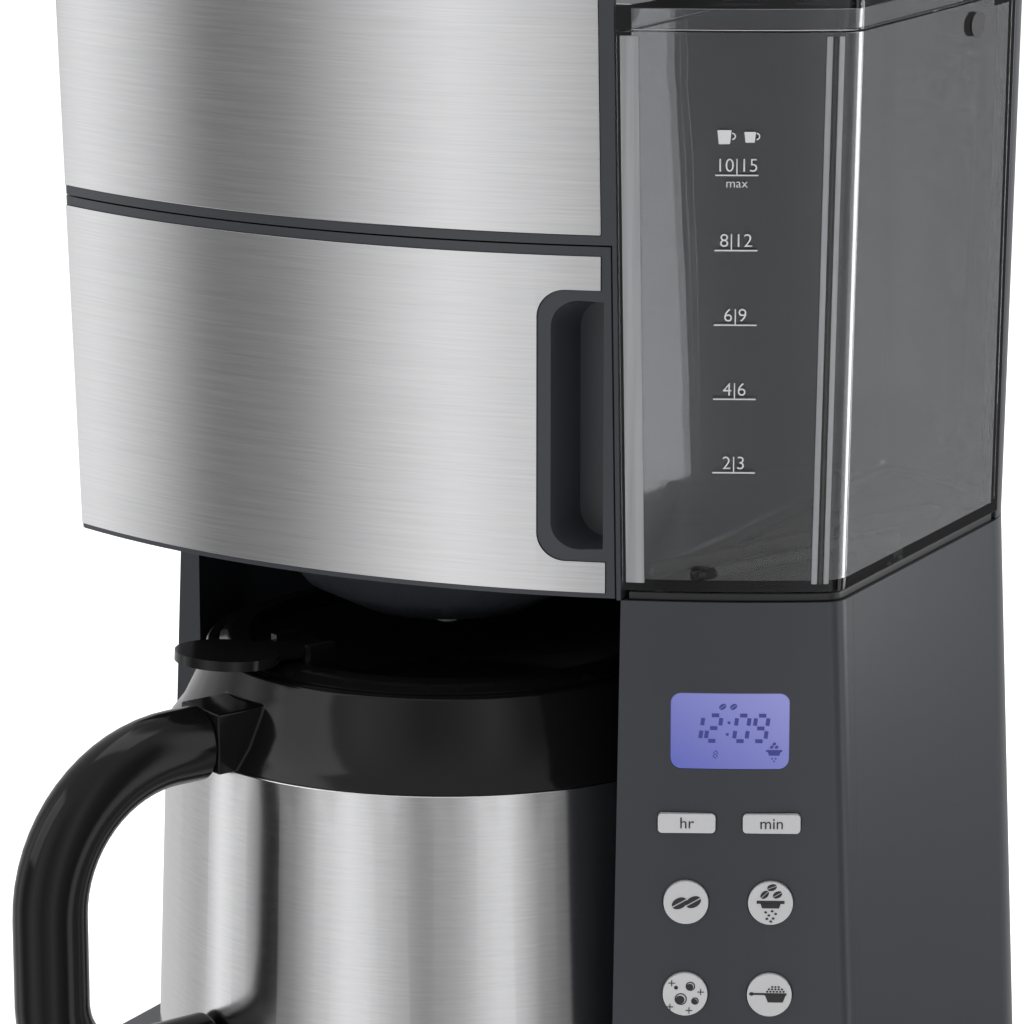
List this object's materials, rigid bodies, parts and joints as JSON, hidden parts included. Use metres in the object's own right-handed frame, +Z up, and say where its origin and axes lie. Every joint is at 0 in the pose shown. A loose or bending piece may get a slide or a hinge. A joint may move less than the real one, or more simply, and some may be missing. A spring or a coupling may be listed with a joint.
{
  "type": "drip coffee maker",
  "caption": "Drip coffee maker with a curved steel front, swing-out filter door, bean hopper and grinder, lift-out water tank, control tower and steel vacuum jug.",
  "frame": {"origin": "middle of the bounding box's footprint, on the surface the feet stand on", "axes": "X to the machine's right, Y to its back, Z up; the jug bay and controls face -Y"},
  "size_m": [0.228, 0.2458, 0.42],
  "materials": {
    "slate_plastic": "fine satin grain",
    "black_plastic": "satin",
    "gloss_black": "glossy",
    "brushed_steel": "fine brushing along the width",
    "inner_steel": "turned or drawn",
    "silver_plastic": "silver paint",
    "clear_plastic": "polished clear",
    "display": "lit blue behind a clear pane",
    "board": "solder mask",
    "rubber": "matt",
    "white_plastic": "natural",
    "aluminium": "cast"
  },
  "bodies": {
    "housing": {"base_shell": "slate_plastic", "bottom_cover": "black_plastic", "base_screws": "inner_steel", "rubber_feet": "rubber", "rear_column": "slate_plastic", "cord_gland": "black_plastic", "tower_fascia": "slate_plastic", "lcd_window": "display", "lcd_module": "display", "control_board": "board", "tact_switches": "board", "tank_seat": "black_plastic", "inlet_spout": "black_plastic", "upper_frame": "slate_plastic", "hinge_pins": "inner_steel", "rear_cover": "slate_plastic", "top_deck": "slate_plastic", "steel_panel_upper": "brushed_steel", "brew_ceiling": "black_plastic", "shower_head": "inner_steel", "grinder_plate": "inner_steel", "grinder_motor": "inner_steel", "grinder_chamber": "black_plastic", "ground_chute": "black_plastic", "flow_heater": "aluminium", "riser_tube": "rubber", "inlet_hose": "rubber"},
    "filter_door": {"door_shell": "slate_plastic", "door_panel": "brushed_steel", "filter_holder": "black_plastic", "valve_spring": "inner_steel", "permanent_filter": "brushed_steel"},
    "drip_valve": {"drip_valve": "white_plastic"},
    "water_tank": {"water_tank": "clear_plastic", "lid_pin": "inner_steel"},
    "tank_lid": {"tank_lid": "clear_plastic"},
    "hopper": {"grind_dial": "black_plastic", "hopper": "clear_plastic", "upper_burr": "inner_steel"},
    "hopper_lid": {"hopper_lid": "black_plastic"},
    "burr_gear": {"reduction_gear": "white_plastic", "burr_shaft": "inner_steel", "lower_burr": "inner_steel"},
    "motor_pinion": {"motor_pinion": "inner_steel"},
    "jug": {"jug_shell": "brushed_steel", "jug_liner": "inner_steel", "jug_collar": "gloss_black", "jug_handle": "gloss_black"},
    "jug_lid": {"jug_lid": "gloss_black", "lever_pin": "inner_steel"},
    "thumb_lever": {"thumb_lever": "gloss_black"},
    "hr_button": {"hr_button": "silver_plastic"},
    "min_button": {"min_button": "silver_plastic"},
    "strength_button": {"strength_button": "silver_plastic"},
    "grind_button": {"grind_button": "silver_plastic"},
    "clean_button": {"clean_button": "silver_plastic"},
    "ground_button": {"ground_button": "silver_plastic"},
    "power_button": {"power_button": "silver_plastic"},
    "timer_button": {"timer_button": "silver_plastic"}
  },
  "joints": [
    {"name": "door_hinge", "type": "hinge", "parent": "housing", "child": "filter_door", "pos_m": [-0.09952, -0.03711, 0.208], "axis": [0, 0, -1], "range_deg": [0, 95]},
    {"name": "drip_valve_lift", "type": "slide", "parent": "filter_door", "child": "drip_valve", "axis": [0, 0, 1], "range_m": [0, 0.004], "stiffness_N_per_m": 150, "springref_m": -0.003, "deforming": ["valve_spring"]},
    {"name": "tank_lift", "type": "slide", "parent": "housing", "child": "water_tank", "axis": [0, 0, 1], "range_m": [0, 0.15]},
    {"name": "tank_lid_hinge", "type": "hinge", "parent": "water_tank", "child": "tank_lid", "pos_m": [0.07798, 0.07389, 0.309], "axis": [-1, 0, 0], "range_deg": [0, 85]},
    {"name": "grind_adjust", "type": "hinge", "parent": "housing", "child": "hopper", "pos_m": [-0.02402, 0.04649, 0.356], "axis": [0, 0, 1], "range_deg": [-40, 40]},
    {"name": "hopper_lid_lift", "type": "slide", "parent": "hopper", "child": "hopper_lid", "axis": [0, 0, 1], "range_m": [0, 0.1]},
    {"name": "gear_spin", "type": "hinge", "parent": "housing", "child": "burr_gear", "pos_m": [-0.02402, 0.04649, 0.271], "axis": [0, 0, 1], "continuous": true},
    {"name": "motor_spin", "type": "hinge", "parent": "housing", "child": "motor_pinion", "pos_m": [-0.00902, 0.08086, 0.271], "axis": [0, 0, 1], "continuous": true},
    {"name": "jug_slide", "type": "slide", "parent": "housing", "child": "jug", "axis": [-0.1736, -0.9848, 0], "range_m": [0, 0.15]},
    {"name": "jug_lid_twist", "type": "hinge", "parent": "jug", "child": "jug_lid", "pos_m": [-0.01902, 0.00389, 0.13], "axis": [0, 0, 1], "range_deg": [0, 30]},
    {"name": "thumb_lever_press", "type": "hinge", "parent": "jug_lid", "child": "thumb_lever", "pos_m": [-0.03813, -0.03904, 0.139], "axis": [0.9135, -0.4067, 0], "range_deg": [0, 3.6], "stiffness_Nm_per_rad": 0.3, "springref_deg": -5.73},
    {"name": "hr_button_press", "type": "slide", "parent": "housing", "child": "hr_button", "axis": [-0.4413, 0.8974, 0], "range_m": [0, 0.001], "stiffness_N_per_m": 400, "springref_m": -0.0006},
    {"name": "min_button_press", "type": "slide", "parent": "housing", "child": "min_button", "axis": [-0.4413, 0.8974, 0], "range_m": [0, 0.001], "stiffness_N_per_m": 400, "springref_m": -0.0006},
    {"name": "strength_button_press", "type": "slide", "parent": "housing", "child": "strength_button", "axis": [-0.4413, 0.8974, 0], "range_m": [0, 0.001], "stiffness_N_per_m": 400, "springref_m": -0.0006},
    {"name": "grind_button_press", "type": "slide", "parent": "housing", "child": "grind_button", "axis": [-0.4413, 0.8974, 0], "range_m": [0, 0.001], "stiffness_N_per_m": 400, "springref_m": -0.0006},
    {"name": "clean_button_press", "type": "slide", "parent": "housing", "child": "clean_button", "axis": [-0.4413, 0.8974, 0], "range_m": [0, 0.001], "stiffness_N_per_m": 400, "springref_m": -0.0006},
    {"name": "ground_button_press", "type": "slide", "parent": "housing", "child": "ground_button", "axis": [-0.4413, 0.8974, 0], "range_m": [0, 0.001], "stiffness_N_per_m": 400, "springref_m": -0.0006},
    {"name": "power_button_press", "type": "slide", "parent": "housing", "child": "power_button", "axis": [-0.4413, 0.8974, 0], "range_m": [0, 0.001], "stiffness_N_per_m": 400, "springref_m": -0.0006},
    {"name": "timer_button_press", "type": "slide", "parent": "housing", "child": "timer_button", "axis": [-0.4413, 0.8974, 0], "range_m": [0, 0.001], "stiffness_N_per_m": 400, "springref_m": -0.0006}
  ],
  "couplings": [
    {"joint": "motor_spin", "follows": "gear_spin", "ratio": -4}
  ]
}
